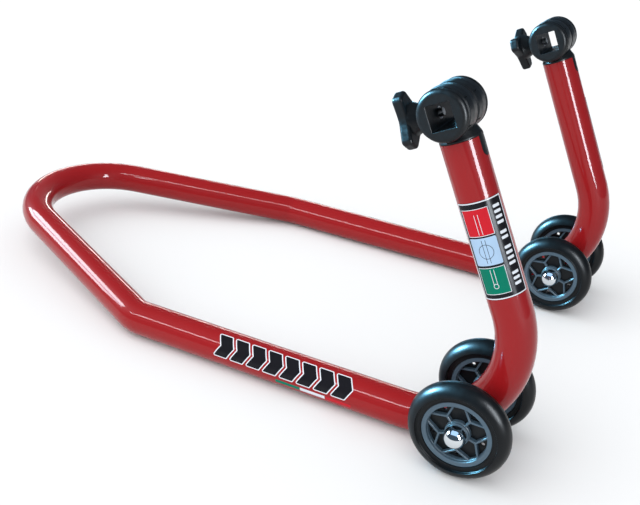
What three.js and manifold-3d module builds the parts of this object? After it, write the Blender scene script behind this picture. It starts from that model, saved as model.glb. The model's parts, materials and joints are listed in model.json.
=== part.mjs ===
// A rear paddock stand: one bent steel tube with a loop handle, two pairs of small wheels under its uprights,
// and a clamping head on top of each upright that holds a square support bar.
//
// Millimetres. +X points from the handle towards the wheels, +Z up, right side at -Y, left side at +Y.
// The origin is on the ground under the middle of the stand's box.

import * as THREE from 'three';
import { mergeVertices } from 'three/addons/utils/BufferGeometryUtils.js';
import Module from 'manifold-3d';

const wasm = await Module();
wasm.setup();

// ---- Driving dimensions ---------------------------------------------------------------------------------

const TUBE_R = 19;              // outer radius of the frame tube
const TUBE_WALL = 2;
const TRACK = 360;              // between the two uprights, centre to centre
const LEAN = rad(25.5);         // uprights lean back over the arms
const UPRIGHT_LENGTH = 313.5;   // lower corner to the tube's open top end
const BEND_R = 98;              // centre-line radius of the lower bend
const ARM_LENGTH = 476;         // lower corner to the kink where the arms turn inwards
const ARM_CLEARANCE = 1;        // gap under the arm's front end, so that the wheels carry the load
const KINK_R = 45;
const TAPER = rad(22.6);        // how far each arm turns inwards after the kink, seen from above
const HANDLE_RISE = rad(6.3);   // how far the converging arms climb towards the handle
const HANDLE_R = 100;           // centre-line radius of the handle's arc

const WHEEL_R = 49;
const WHEEL_OFFSET = 41.6;      // wheel centre plane to the tube's centre plane
const TYRE_HALF_WIDTH = 12;
const RIM_R = 33.4;
const RIM_INNER_R = 28.7;
const RIM_HALF_WIDTH = 8.8;
const HUB_R = 11.5;
const HUB_HALF_WIDTH = 8.5;
const HUB_BORE_R = 8.4;
const SPOKES = 5;               // Y-shaped, each with a short foot on the hub and two branches to the ring
const SPOKE_THICKNESS = 2;
const SPOKE_HALF_WIDTH = 5.8;
const SPOKE_FORK_R = 18.3;      // where a foot splits into its branches
const SPOKE_SPREAD = rad(28);   // from the foot's line to where a branch meets the ring
const SPOKE_TURN = { right: rad(58), left: rad(54) };   // one foot's direction at rest, from +X towards +Z
const WEB_HALF_THICKNESS = 1.2; // disc that closes the rim between the outer and the inner halves of the spokes
const WEB_SEAT = 0.3;           // how deep its edges reach into the grooves of the hub and the ring
const WEB_HOLE_R = 1.8;
const WEB_HOLE_AT = 24.5;       // the holes' distance from the wheel's axis
const BUSH_R = 8;
const BUSH_FLANGE_R = 9.5;
const FLANGE_THICKNESS = 1;
const AXLE_R = 6;
const AXLE_CLEARANCE = 0.35;
const SLEEVE_R = 9;
const CAP_R = 10;               // domed cap on each end of an axle
const CAP_SKIRT = 1;
const CAP_DEPTH = 5;            // how far the axle's end reaches into its cap
const WASHER_THICKNESS = 1;

const HEAD_RISE = 26;           // tube's top end to the head's barrel axis
const BARREL_R = 23;
const BARREL_HALF_LENGTH = 29;
const SOCKET = 22.4;            // square socket for a 22 mm support bar
const SOCKET_WALL = -SOCKET / 2;  // the socket's face on the knob side
const KEY_WIDTH = 12;           // tongue that locks the head in the tube's slot
const KEY_LENGTH = 18;
const SPIGOT_LENGTH = 55;

const STUD_R = 3.9;             // M8 clamping stud
const STUD_REACH = 3.5;         // how far its tip stands into the socket at rest
const INSERT_R = 5.7;           // threaded insert in the head's wall
const KNOB_R = 25;
const KNOB_LOBE_R = 7.5;        // round tip of each of its three lobes
const KNOB_WAIST_R = 12;        // deepest point between two lobes
const KNOB_THICKNESS = 10;
const KNOB_FACE = -44.5;        // knob's outer face, from the barrel axis
const KNOB_SKIN = 4;            // material between that face and the stud
const KNOB_BOSS_END = -27;
const KNOB_TURN = { right: rad(21), left: rad(72) };   // where one lobe points at rest, from the upright's line

const STICKER_GAP = 0.35;
const STICKER_THICKNESS = 0.25;
// Upright label: middle and half of its wrap, from the upright's front towards its outer side, and its two ends
// below the head's axis.
const UPRIGHT_LABEL = { middle: rad(74), half: rad(68), low: -166, high: -77 };
// Arm graphic: its edges below and above the arm's outer side, and its two ends from the lower corner.
const ARM_GRAPHIC = { below: rad(6), above: rad(66), near: 198, far: 371 };

const GAP = 0.3;                // between pieces that touch on the real stand
const FACETS = { tube: 16, wheel: 32, hub: 16, small: 12, barrel: 28 };

// ---- Materials ------------------------------------------------------------------------------------------

function paint(color, roughness, metalness = 0) {
  return new THREE.MeshStandardMaterial({ color, roughness, metalness });
}

const MATERIAL = {
  redPowderCoat: paint(0xb01c22, 0.22),
  blackPlastic: paint(0x1b1e22, 0.45),
  tyre: paint(0x15171a, 0.35),
  rim: paint(0x5b6f8c, 0.4),
  chrome: paint(0xd8dadc, 0.08, 1),
  zincSteel: paint(0xa9abad, 0.35, 1),
  bush: paint(0xd9d8d2, 0.5),
  label: paint(0x0e0f11, 0.3),
};

// ---- Helpers --------------------------------------------------------------------------------------------

function rad(degrees) {
  return degrees * Math.PI / 180;
}

function ringPoints(radius, count, start = 0) {
  return Array.from({ length: count }, (_, i) => {
    const angle = start + 2 * Math.PI * i / count;
    return new THREE.Vector2(radius * Math.cos(angle), radius * Math.sin(angle));
  });
}

// Points of a round stretch, as [x, y] pairs.
function arcPoints(centreX, centreY, radius, from, to, steps) {
  return Array.from({ length: steps + 1 }, (_, i) => {
    const angle = from + (to - from) * i / steps;
    return [centreX + radius * Math.cos(angle), centreY + radius * Math.sin(angle)];
  });
}

// Turns a closed three.js geometry into a solid: corners merged, collapsed triangles dropped, faces outwards.
function solid(geometry) {
  const bare = geometry.clone();
  bare.deleteAttribute('normal');
  bare.deleteAttribute('uv');
  const merged = mergeVertices(bare, 1e-4);
  const position = merged.getAttribute('position');
  const corner = (i) => new THREE.Vector3().fromBufferAttribute(position, i);
  const triangles = [];
  let volume = 0;
  for (let i = 0; i < merged.index.count; i += 3) {
    const [a, b, c] = [0, 1, 2].map((k) => merged.index.getX(i + k));
    if (a === b || b === c || c === a) continue;
    triangles.push([a, b, c]);
    volume += corner(a).dot(corner(b).cross(corner(c)));
  }
  const outwards = volume > 0 ? triangles : triangles.map(([a, b, c]) => [a, c, b]);
  return new wasm.Manifold(new wasm.Mesh({
    numProp: 3,
    vertProperties: new Float32Array(position.array),
    triVerts: new Uint32Array(outwards.flat()),
  }));
}

function geometryOf(manifold) {
  const { numProp, vertProperties, triVerts } = manifold.getMesh();
  const geometry = new THREE.BufferGeometry();
  const positions = new Float32Array(vertProperties.length / numProp * 3);
  for (let i = 0; i < positions.length / 3; i += 1) {
    positions.set(vertProperties.subarray(i * numProp, i * numProp + 3), i * 3);
  }
  geometry.setAttribute('position', new THREE.BufferAttribute(positions, 3));
  geometry.setIndex(new THREE.BufferAttribute(new Uint32Array(triVerts), 1));
  geometry.computeVertexNormals();
  return geometry;
}

function addMesh(parent, name, shape, material) {
  const geometry = shape.isBufferGeometry ? geometryOf(solid(shape)) : geometryOf(shape);
  const mesh = new THREE.Mesh(geometry, material);
  mesh.name = name;
  parent.add(mesh);
  return mesh;
}

// A turned piece about +Y from [radius, height] pairs. A profile that starts off the axis is closed on itself.
function turned(profile, segments) {
  const points = profile.map(([radius, height]) => new THREE.Vector2(radius, height));
  if (points[0].x > 0) points.push(points[0].clone());
  return new THREE.LatheGeometry(points, segments);
}

const alongX = (geometry) => geometry.rotateZ(-Math.PI / 2);   // +Y of a turned piece becomes +X
const alongZ = (geometry) => geometry.rotateX(Math.PI / 2);    // +Y of a turned piece becomes +Z

// A prism along +Z over an outline of [x, y] pairs.
function prism(outline, length) {
  const shape = new THREE.Shape(outline.map(([x, y]) => new THREE.Vector2(x, y)));
  return new THREE.ExtrudeGeometry(shape, { depth: length, bevelEnabled: false });
}

// A prism whose outline of [y, z] pairs is set across the X axis, from x = xStart.
function prismAlongX(outline, xStart, length) {
  const basis = new THREE.Matrix4().makeBasis(
    new THREE.Vector3(0, 1, 0), new THREE.Vector3(0, 0, 1), new THREE.Vector3(1, 0, 0),
  );
  return prism(outline, length).applyMatrix4(basis).translate(xStart, 0, 0);
}

function box(sizeX, sizeY, sizeZ, x, y, z) {
  return new THREE.BoxGeometry(sizeX, sizeY, sizeZ).translate(x, y, z);
}

// ---- Frame tube -----------------------------------------------------------------------------------------

// An arc in space from one straight leg to the next.
class CornerArc extends THREE.Curve {
  constructor(before, corner, after, radius) {
    super();
    const back = before.clone().sub(corner).normalize();
    const ahead = after.clone().sub(corner).normalize();
    const halfAngle = back.angleTo(ahead) / 2;
    const towardsCentre = back.clone().add(ahead).normalize();
    this.start = corner.clone().addScaledVector(back, radius / Math.tan(halfAngle));
    this.end = corner.clone().addScaledVector(ahead, radius / Math.tan(halfAngle));
    this.centre = corner.clone().addScaledVector(towardsCentre, radius / Math.sin(halfAngle));
    this.axis = ahead.clone().cross(back).normalize();
    this.sweep = Math.PI - 2 * halfAngle;
  }

  getPoint(t, target = new THREE.Vector3()) {
    return target.copy(this.start).sub(this.centre).applyAxisAngle(this.axis, this.sweep * t).add(this.centre);
  }

  getTangent(t, target = new THREE.Vector3()) {
    const spoke = this.getPoint(t).sub(this.centre);
    return target.copy(this.axis).cross(spoke).normalize();
  }
}

// Straight legs joined by corner arcs. Its parameter counts steps, so the facets gather in the bends.
class BentTubePath extends THREE.Curve {
  constructor(corners, radii, arcSteps) {
    super();
    this.legs = [];
    let from = corners[0];
    radii.forEach((radius, i) => {
      const arc = new CornerArc(corners[i], corners[i + 1], corners[i + 2], radius);
      this.legs.push({ curve: new THREE.LineCurve3(from, arc.start), steps: 1 });
      this.legs.push({ curve: arc, steps: arcSteps[i] });
      from = arc.end;
    });
    this.legs.push({ curve: new THREE.LineCurve3(from, corners.at(-1)), steps: 1 });
    this.steps = this.legs.reduce((sum, leg) => sum + leg.steps, 0);
  }

  locate(t) {
    let step = Math.min(Math.max(t, 0), 1) * this.steps;
    for (const leg of this.legs) {
      if (step <= leg.steps + 1e-9) return [leg.curve, step / leg.steps];
      step -= leg.steps;
    }
    return [this.legs.at(-1).curve, 1];
  }

  getPoint(t, target = new THREE.Vector3()) {
    const [curve, s] = this.locate(t);
    return target.copy(curve.getPoint(s));
  }

  getTangent(t, target = new THREE.Vector3()) {
    const [curve, s] = this.locate(t);
    return target.copy(curve.getTangent(s));
  }

  getPointAt(u, target) {
    return this.getPoint(u, target);
  }

  getTangentAt(u, target) {
    return this.getTangent(u, target);
  }
}

const uprightAxis = new THREE.Vector3(-Math.sin(LEAN), 0, Math.cos(LEAN));
const bendTangent = BEND_R / Math.tan((Math.PI / 2 - LEAN) / 2);

// The lower corner's height clears the ground, and its place puts the axle on the bend's centre line.
const cornerZ = TUBE_R + ARM_CLEARANCE;
const cornerX = bendTangent - Math.sqrt(BEND_R ** 2 - (BEND_R - WHEEL_R + cornerZ) ** 2);

function sideCorners(side) {
  const lower = new THREE.Vector3(cornerX, side * TRACK / 2, cornerZ);
  const top = lower.clone().addScaledVector(uprightAxis, UPRIGHT_LENGTH);
  const kink = new THREE.Vector3(cornerX - ARM_LENGTH, side * TRACK / 2, TUBE_R);
  return { top, lower, kink };
}

const right = sideCorners(-1);
const left = sideCorners(1);

// Where the two converging arms would meet on the stand's middle plane, if the handle had no arc.
const taperRun = TRACK / 2 / Math.tan(TAPER);
const handleCorner = new THREE.Vector3(
  right.kink.x - taperRun,
  0,
  right.kink.z + Math.hypot(taperRun, TRACK / 2) * Math.tan(HANDLE_RISE),
);

const tubePath = new BentTubePath(
  [right.top, right.lower, right.kink, handleCorner, left.kink, left.lower, left.top],
  [BEND_R, KINK_R, HANDLE_R, KINK_R, BEND_R],
  [12, 3, 14, 3, 12],
);

function headFrame(corners) {
  const group = new THREE.Group();
  group.position.copy(corners.top).addScaledVector(uprightAxis, HEAD_RISE);
  group.rotation.y = -LEAN;
  group.updateMatrix();
  return group;
}

// Outline, in the head's YZ plane, of the key or its slot: straight sides and a round lower end.
function keyOutline(halfWidth, lowerEnd, upperEnd) {
  return [
    [halfWidth, upperEnd],
    [-halfWidth, upperEnd],
    ...arcPoints(0, lowerEnd + halfWidth, halfWidth, Math.PI, 2 * Math.PI, 6),
  ];
}

function makeFrame() {
  const section = new THREE.Shape(ringPoints(TUBE_R, FACETS.tube));
  section.holes.push(new THREE.Path(ringPoints(TUBE_R - TUBE_WALL, FACETS.tube)));
  const bent = new THREE.ExtrudeGeometry(section, { steps: tubePath.steps, extrudePath: tubePath });
  let frame = solid(bent);
  const slotEnd = -HEAD_RISE - KEY_LENGTH - GAP;
  const slotOutline = keyOutline(KEY_WIDTH / 2 + GAP, slotEnd, -HEAD_RISE + KEY_WIDTH / 2);
  for (const corners of [right, left]) {
    const axleHole = new THREE.CylinderGeometry(SLEEVE_R + GAP, SLEEVE_R + GAP, 3 * TUBE_R, FACETS.hub);
    axleHole.translate(0, corners.lower.y, WHEEL_R);
    const keySlot = prismAlongX(slotOutline, TUBE_R / 2, TUBE_R);
    keySlot.applyMatrix4(headFrame(corners).matrix);
    frame = frame.subtract(solid(axleHole)).subtract(solid(keySlot));
  }
  return frame;
}

// ---- Wheels and axles -----------------------------------------------------------------------------------

// Half of the tyre's section is an arc of its own half width; a lower flat band meets the rim on each side.
function makeTyre() {
  const bandHalfWidth = RIM_HALF_WIDTH + 0.4;
  const crownR = WHEEL_R - TYRE_HALF_WIDTH;
  const bandR = crownR + 2.4;
  const shoulder = rad(74);
  return turned([
    [RIM_R + GAP, -bandHalfWidth],
    [bandR, -bandHalfWidth],
    ...arcPoints(crownR, 0, TYRE_HALF_WIDTH, -shoulder, shoulder, 8),
    [bandR, bandHalfWidth],
    [RIM_R + GAP, bandHalfWidth],
  ], FACETS.wheel);
}

// A bar in the wheel's plane from one point to another; points are [x, z].
function spokeBar([x0, z0], [x1, z1]) {
  const length = Math.hypot(x1 - x0, z1 - z0);
  const bar = box(length, 2 * SPOKE_HALF_WIDTH, SPOKE_THICKNESS, length / 2, 0, 0);
  return solid(bar.rotateY(-Math.atan2(z1 - z0, x1 - x0)).translate(x0, 0, z0));
}

// The web's shape, or with a clearance the groove that it sits in.
function webRing(clearance) {
  const reach = WEB_SEAT + clearance;
  const half = WEB_HALF_THICKNESS + clearance;
  return turned([
    [HUB_R - reach, -half],
    [RIM_INNER_R + reach, -half],
    [RIM_INNER_R + reach, half],
    [HUB_R - reach, half],
  ], FACETS.wheel);
}

// A disc with a small hole in the fork of each spoke.
function makeWeb(turn) {
  let web = solid(webRing(0));
  for (let i = 0; i < SPOKES; i += 1) {
    const angle = turn + 2 * Math.PI * i / SPOKES;
    const hole = new THREE.CylinderGeometry(WEB_HOLE_R, WEB_HOLE_R, 4 * WEB_HALF_THICKNESS, FACETS.small);
    hole.translate(WEB_HOLE_AT * Math.cos(angle), 0, WEB_HOLE_AT * Math.sin(angle));
    web = web.subtract(solid(hole));
  }
  return web;
}

function makeRim(turn) {
  const ring = turned([
    [RIM_INNER_R, -RIM_HALF_WIDTH],
    [RIM_R, -RIM_HALF_WIDTH],
    [RIM_R, RIM_HALF_WIDTH],
    [RIM_INNER_R, RIM_HALF_WIDTH],
  ], FACETS.wheel);
  const hub = new THREE.CylinderGeometry(HUB_R, HUB_R, 2 * HUB_HALF_WIDTH, FACETS.hub);
  const bore = new THREE.CylinderGeometry(HUB_BORE_R, HUB_BORE_R, 3 * HUB_HALF_WIDTH, FACETS.small);
  const at = (radius, angle) => [radius * Math.cos(angle), radius * Math.sin(angle)];
  const sunk = 1.7;                 // how deep each bar's end sits in the hub or the ring
  let rim = solid(ring).add(solid(hub));
  for (let i = 0; i < SPOKES; i += 1) {
    const angle = turn + 2 * Math.PI * i / SPOKES;
    const fork = at(SPOKE_FORK_R, angle);
    rim = rim.add(spokeBar(at(HUB_R - sunk, angle), fork));
    for (const spread of [-SPOKE_SPREAD, SPOKE_SPREAD]) {
      rim = rim.add(spokeBar(fork, at(RIM_INNER_R + sunk, angle + spread)));
    }
  }
  return rim.subtract(solid(bore)).subtract(solid(webRing(GAP)));
}

// Flanged bush pressed into one end of the hub; outwards is +1 or -1 along the wheel's axis.
function makeBush(outwards) {
  const innerEnd = outwards * GAP;
  const flangeInner = outwards * (HUB_HALF_WIDTH + GAP);
  const flangeOuter = outwards * (HUB_HALF_WIDTH + GAP + FLANGE_THICKNESS);
  const boreR = AXLE_R + AXLE_CLEARANCE;
  return turned([
    [boreR, innerEnd],
    [BUSH_R, innerEnd],
    [BUSH_R, flangeInner],
    [BUSH_FLANGE_R, flangeInner],
    [BUSH_FLANGE_R, flangeOuter],
    [boreR, flangeOuter],
  ], FACETS.small);
}

function addWheel(parent, name, offset, turn) {
  const wheel = new THREE.Group();
  wheel.position.y = offset;
  parent.add(wheel);
  addMesh(wheel, `tyre_${name}`, makeTyre(), MATERIAL.tyre);
  addMesh(wheel, `rim_${name}`, makeRim(turn), MATERIAL.rim);
  addMesh(wheel, `wheel_web_${name}`, makeWeb(turn), MATERIAL.blackPlastic);
  addMesh(wheel, `bush_${name}_outer_end`, makeBush(Math.sign(offset)), MATERIAL.bush);
  addMesh(wheel, `bush_${name}_inner_end`, makeBush(-Math.sign(offset)), MATERIAL.bush);
}

// Push-on cap: a dome on a short skirt over the axle's end; outwards is +1 or -1 along the axle.
function makeAxleCap(outwards) {
  const bore = AXLE_R + AXLE_CLEARANCE;
  const profile = [
    [0, CAP_DEPTH],
    [bore, CAP_DEPTH],
    [bore, 0],
    [CAP_R, 0],
    ...arcPoints(0, CAP_SKIRT, CAP_R, 0, Math.PI / 2, 5).slice(0, -1),
    [0, CAP_SKIRT + CAP_R],
  ];
  return turned(profile.map(([radius, height]) => [radius, outwards * height]), FACETS.small);
}

function makeWasher(outwards) {
  const bore = AXLE_R + AXLE_CLEARANCE;
  const rimR = CAP_R + 0.5;
  const far = outwards * WASHER_THICKNESS;
  return turned([[bore, 0], [rimR, 0], [rimR, far], [bore, far]], FACETS.small);
}

function addAxleSet(parent, sideName, corners) {
  const set = new THREE.Group();
  set.position.set(0, corners.lower.y, WHEEL_R);
  parent.add(set);
  const outwards = Math.sign(corners.lower.y);
  const flangeReach = HUB_HALF_WIDTH + GAP + FLANGE_THICKNESS;
  const washerAt = WHEEL_OFFSET + flangeReach + GAP;
  const capAt = washerAt + WASHER_THICKNESS + GAP;
  const axleHalf = capAt + CAP_DEPTH - GAP;
  const sleeveHalf = WHEEL_OFFSET - flangeReach - GAP;
  const sleeveBore = AXLE_R + AXLE_CLEARANCE;
  const axle = new THREE.CylinderGeometry(AXLE_R, AXLE_R, 2 * axleHalf, FACETS.small);
  const sleeve = turned([
    [sleeveBore, -sleeveHalf],
    [SLEEVE_R, -sleeveHalf],
    [SLEEVE_R, sleeveHalf],
    [sleeveBore, sleeveHalf],
  ], FACETS.hub);
  addMesh(set, `axle_${sideName}`, axle, MATERIAL.zincSteel);
  addMesh(set, `axle_sleeve_${sideName}`, sleeve, MATERIAL.redPowderCoat);
  for (const [place, end] of [['outer', outwards], ['inner', -outwards]]) {
    const name = `${sideName}_${place}`;
    addWheel(set, name, end * WHEEL_OFFSET, SPOKE_TURN[sideName]);
    const washer = addMesh(set, `axle_washer_${name}`, makeWasher(end), MATERIAL.zincSteel);
    const cap = addMesh(set, `axle_cap_${name}`, makeAxleCap(end), MATERIAL.chrome);
    washer.position.y = end * washerAt;
    cap.position.y = end * capAt;
  }
}

// ---- Clamping heads -------------------------------------------------------------------------------------
// In a head's own frame +Z runs up the upright, +Y along the barrel and +X away from the knob.

function makeBarrel() {
  const edge = 2.5;                 // rounded rim of each end face
  const groove = { at: 24.5, depth: 0.9, half: 1.2 };   // one near each end, one in the middle
  const half = [
    [0, BARREL_HALF_LENGTH],
    ...arcPoints(BARREL_R - edge, BARREL_HALF_LENGTH - edge, edge, Math.PI / 2, 0, 3),
    [BARREL_R, groove.at + groove.half],
    [BARREL_R - groove.depth, groove.at],
    [BARREL_R, groove.at - groove.half],
    [BARREL_R, groove.half],
  ];
  const mirrored = half.map(([radius, height]) => [radius, -height]).reverse();
  return solid(turned([...half, [BARREL_R - groove.depth, 0], ...mirrored], FACETS.barrel));
}

// Collar on the tube's end, drawn in to a neck under the barrel.
function makeNeck() {
  const bottom = -HEAD_RISE + GAP;
  return solid(alongZ(turned([
    [0, bottom],
    [TUBE_R, bottom],
    [TUBE_R, bottom + 1.5],
    [TUBE_R - 1.8, bottom + 5],
    [TUBE_R - 2.8, bottom + 10],
    [0, bottom + 12],
  ], FACETS.tube)));
}

function makeSpigot() {
  const radius = TUBE_R - TUBE_WALL - 2 * GAP;
  const chamfer = 1.5;
  const end = -HEAD_RISE - SPIGOT_LENGTH;
  const top = -HEAD_RISE + 2;
  return solid(alongZ(turned([
    [0, end],
    [radius - chamfer, end],
    [radius, end + chamfer],
    [radius, top],
    [0, top],
  ], FACETS.tube)));
}

function makeKey() {
  const outline = keyOutline(KEY_WIDTH / 2, -HEAD_RISE - KEY_LENGTH, -HEAD_RISE + 2);
  const blank = prismAlongX(outline, TUBE_R / 2, TUBE_R);
  const tubeSurface = new THREE.CylinderGeometry(TUBE_R, TUBE_R, 4 * HEAD_RISE, FACETS.tube);
  return solid(blank).intersect(solid(alongZ(tubeSurface)));
}

function makeHeadBody() {
  const socket = box(SOCKET, 4 * BARREL_HALF_LENGTH, SOCKET, 0, 0, 0);
  const insertBore = new THREE.CylinderGeometry(INSERT_R + GAP, INSERT_R + GAP, BARREL_R, FACETS.small);
  alongX(insertBore).translate(SOCKET_WALL - BARREL_R / 2 + 1, 0, 0);
  const spigotHollow = new THREE.CylinderGeometry(12, 12, SPIGOT_LENGTH, FACETS.small);
  alongZ(spigotHollow).translate(0, 0, -HEAD_RISE - SPIGOT_LENGTH / 2 - 5);
  return makeBarrel().add(makeNeck()).add(makeSpigot()).add(makeKey())
    .subtract(solid(socket)).subtract(solid(insertBore)).subtract(solid(spigotHollow));
}

// Steel insert moulded into the knob-side wall, its bore clear of the stud.
function makeInsert() {
  const bore = STUD_R + GAP;
  const outerEnd = -BARREL_R + 2;
  return alongX(turned([
    [bore, outerEnd],
    [INSERT_R, outerEnd],
    [INSERT_R, SOCKET_WALL],
    [bore, SOCKET_WALL],
  ], FACETS.small));
}

function makeStud() {
  const tip = SOCKET_WALL + STUD_REACH;
  const chamfer = 0.8;
  const start = KNOB_FACE + KNOB_SKIN;
  return alongX(turned([
    [0, start],
    [STUD_R, start],
    [STUD_R, tip - chamfer],
    [STUD_R - chamfer, tip],
    [0, tip],
  ], FACETS.small));
}

// Outline of the three-lobed knob: round lobe tips joined by hollow arcs that are tangent to them.
function knobOutline(turn) {
  const tipCentre = KNOB_R - KNOB_LOBE_R;
  // The hollow arc's circle touches both lobe tips and passes through the waist, halfway between two lobes.
  const hollowR = (KNOB_WAIST_R ** 2 + tipCentre ** 2 - tipCentre * KNOB_WAIST_R - KNOB_LOBE_R ** 2)
    / (tipCentre + 2 * KNOB_LOBE_R - 2 * KNOB_WAIST_R);
  const hollowCentre = KNOB_WAIST_R + hollowR;
  const half = Math.PI / 3;
  const contact = Math.atan2(hollowCentre * Math.sin(half), hollowCentre * Math.cos(half) - tipCentre);
  const hollowSpread = Math.abs(contact - 2 * half);
  const points = [];
  for (let lobe = 0; lobe < 3; lobe += 1) {
    const angle = turn + 2 * half * lobe;
    const between = angle + half;
    const inwards = between + Math.PI;
    points.push(
      ...arcPoints(tipCentre * Math.cos(angle), tipCentre * Math.sin(angle), KNOB_LOBE_R,
        angle - contact, angle + contact, 6),
      ...arcPoints(hollowCentre * Math.cos(between), hollowCentre * Math.sin(between), hollowR,
        inwards + hollowSpread, inwards - hollowSpread, 4).slice(1, -1),
    );
  }
  return points;
}

// The first lobe points from +Z towards -Y by the turn.
function makeKnob(turn) {
  const plateBack = KNOB_FACE + KNOB_THICKNESS;
  const plate = solid(prismAlongX(knobOutline(Math.PI / 2 + turn), KNOB_FACE, KNOB_THICKNESS));
  const boss = solid(alongX(turned([
    [0, plateBack - 2],
    [10.5, plateBack - 2],
    [10.5, plateBack],
    [8.5, KNOB_BOSS_END],
    [0, KNOB_BOSS_END],
  ], FACETS.hub)));
  const boreStart = KNOB_FACE + KNOB_SKIN - GAP;
  const boreLength = 30;
  const bore = alongX(new THREE.CylinderGeometry(STUD_R + GAP, STUD_R + GAP, boreLength, FACETS.small));
  bore.translate(boreStart + boreLength / 2, 0, 0);
  return plate.add(boss).subtract(solid(bore));
}

function addHead(parent, sideName, corners) {
  const head = headFrame(corners);
  parent.add(head);
  addMesh(head, `head_${sideName}`, makeHeadBody(), MATERIAL.blackPlastic);
  addMesh(head, `head_insert_${sideName}`, makeInsert(), MATERIAL.zincSteel);
  addMesh(head, `knob_stud_${sideName}`, makeStud(), MATERIAL.zincSteel);
  addMesh(head, `knob_${sideName}`, makeKnob(KNOB_TURN[sideName]), MATERIAL.blackPlastic);
}

// ---- Stickers -------------------------------------------------------------------------------------------

// A thin film wrapped on the tube, between two angles about +Z of its own frame, from z = low to z = high.
function wrappedFilm(from, to, low, high) {
  const inner = TUBE_R + STICKER_GAP;
  const outline = [
    ...arcPoints(0, 0, inner, from, to, 8),
    ...arcPoints(0, 0, inner + STICKER_THICKNESS, to, from, 8),
  ];
  return prism(outline, high - low).translate(0, 0, low);
}

function addUprightLabel(parent, sideName, corners) {
  const head = headFrame(corners);
  parent.add(head);
  const { middle, half, low, high } = UPRIGHT_LABEL;
  const centre = Math.sign(corners.lower.y) * middle;
  const film = wrappedFilm(centre - half, centre + half, low, high);
  addMesh(head, `upright_label_${sideName}`, film, MATERIAL.label);
}

function addArmGraphic(parent, sideName, corners) {
  // The group's +Z runs along the arm from the lower corner, its +X to the left side and its +Y down.
  const alongArm = corners.kink.clone().sub(corners.lower).normalize();
  const toLeft = new THREE.Vector3(0, 1, 0);
  const arm = new THREE.Group();
  arm.position.copy(corners.lower);
  arm.setRotationFromMatrix(new THREE.Matrix4().makeBasis(toLeft, alongArm.clone().cross(toLeft), alongArm));
  parent.add(arm);
  const { below, above, near, far } = ARM_GRAPHIC;
  const onLeft = corners.lower.y > 0;
  const from = onLeft ? -above : Math.PI - below;
  const film = wrappedFilm(from, from + above + below, near, far);
  addMesh(arm, `arm_graphic_${sideName}`, film, MATERIAL.label);
}

// ---- Assembly -------------------------------------------------------------------------------------------

const stand = new THREE.Group();
addMesh(stand, 'frame_tube', makeFrame(), MATERIAL.redPowderCoat);
for (const [sideName, corners] of [['right', right], ['left', left]]) {
  addAxleSet(stand, sideName, corners);
  addHead(stand, sideName, corners);
  addUprightLabel(stand, sideName, corners);
  addArmGraphic(stand, sideName, corners);
}

// Everything above is measured from the axle line. Centre the stand's box over the origin.
const handleReach = TUBE_R - tubePath.getPoint(0.5).x;
stand.position.x = (handleReach - WHEEL_R) / 2;

export default stand;
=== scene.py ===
"""The looks of a rear paddock stand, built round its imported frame.

Everything is made in millimetres and becomes metres in new_piece(). The handle points towards -X, +Z is
up, and the right side is at -Y.
"""

import json
import math

import bmesh
import bpy
from mathutils import Matrix, Vector


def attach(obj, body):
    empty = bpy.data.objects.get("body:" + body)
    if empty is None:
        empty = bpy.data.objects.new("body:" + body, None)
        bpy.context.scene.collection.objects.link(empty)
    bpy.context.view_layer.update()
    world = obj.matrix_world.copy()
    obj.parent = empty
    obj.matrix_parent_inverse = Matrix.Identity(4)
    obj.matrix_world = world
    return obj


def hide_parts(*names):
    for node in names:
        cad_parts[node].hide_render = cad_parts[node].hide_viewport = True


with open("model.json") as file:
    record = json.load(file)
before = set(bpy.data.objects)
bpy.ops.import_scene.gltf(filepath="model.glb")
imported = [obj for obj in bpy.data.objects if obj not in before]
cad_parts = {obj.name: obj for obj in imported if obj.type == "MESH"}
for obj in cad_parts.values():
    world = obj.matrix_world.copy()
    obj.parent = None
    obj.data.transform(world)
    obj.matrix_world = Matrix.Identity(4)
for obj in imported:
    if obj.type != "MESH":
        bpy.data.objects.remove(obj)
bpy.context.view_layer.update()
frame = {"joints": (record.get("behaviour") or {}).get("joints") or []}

# ---- Driving sizes, in millimetres and radians -----------------------------------------------------------

SIDES = {"right": -1, "left": 1}
PLACES = {"outer": 1, "inner": -1}      # from the tube's centre plane, outwards or inwards

TUBE_R = 19.0
TUBE_WALL = 2.0
TUBE_FACETS = 64
BEND_R = 98.0
CORNER_Z = 20.0                          # height of the corner that each lower bend rounds off
KINK_Z = 19.0
KINK_R = 45.0
ARM_LENGTH = 476.0
TAPER = math.radians(22.6)
HANDLE_RISE = math.radians(6.3)
HANDLE_R = 100.0

TYRE_HALF_WIDTH = 12.0
WHEEL_R = 49.0
RIM_R = 33.4
RIM_INNER_R = 28.7
RIM_HALF_WIDTH = 8.8
HUB_R = 11.5
HUB_HALF_WIDTH = 8.5
HUB_BORE_R = 8.4
SPOKE_HALF_WIDTH = 5.8
SHADE_WEB_HALF_THICKNESS = 1.2                 # black disc in the rim's middle plane, between the two layers of spokes, that paints the shade inside the wheel
SHADE_WEB_SEAT = 0.3                           # how deep its edges reach into the grooves of the hub and ring
SHADE_WEB_HOLE_R = 1.8
SHADE_WEB_HOLE_AT = 24.5                       # the holes' distance from the wheel's axis
SPOKES = 5
SPOKE_HALF_THICKNESS = 1.0
SPOKE_FORK_R = 18.3                      # where a spoke's foot splits into its two branches
SPOKE_SPREAD = math.radians(28)
SPOKE_TURN = {"right": math.radians(58), "left": math.radians(54)}
BUSH_R = 8.0
BUSH_FLANGE_R = 9.5
FLANGE_THICKNESS = 1.0
WASHER_THICKNESS = 1.0
AXLE_R = 6.0
AXLE_BORE_R = 6.35
SLEEVE_R = 9.0
CAP_R = 10.0
CAP_SKIRT_R = 10.4
CAP_SKIRT_REACH = 1.0                    # how far its skirt reaches past the washer
CAP_SKIRT_WALL = 0.6
CAP_BAND = 1.0                           # height of the straight band below its dome
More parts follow.
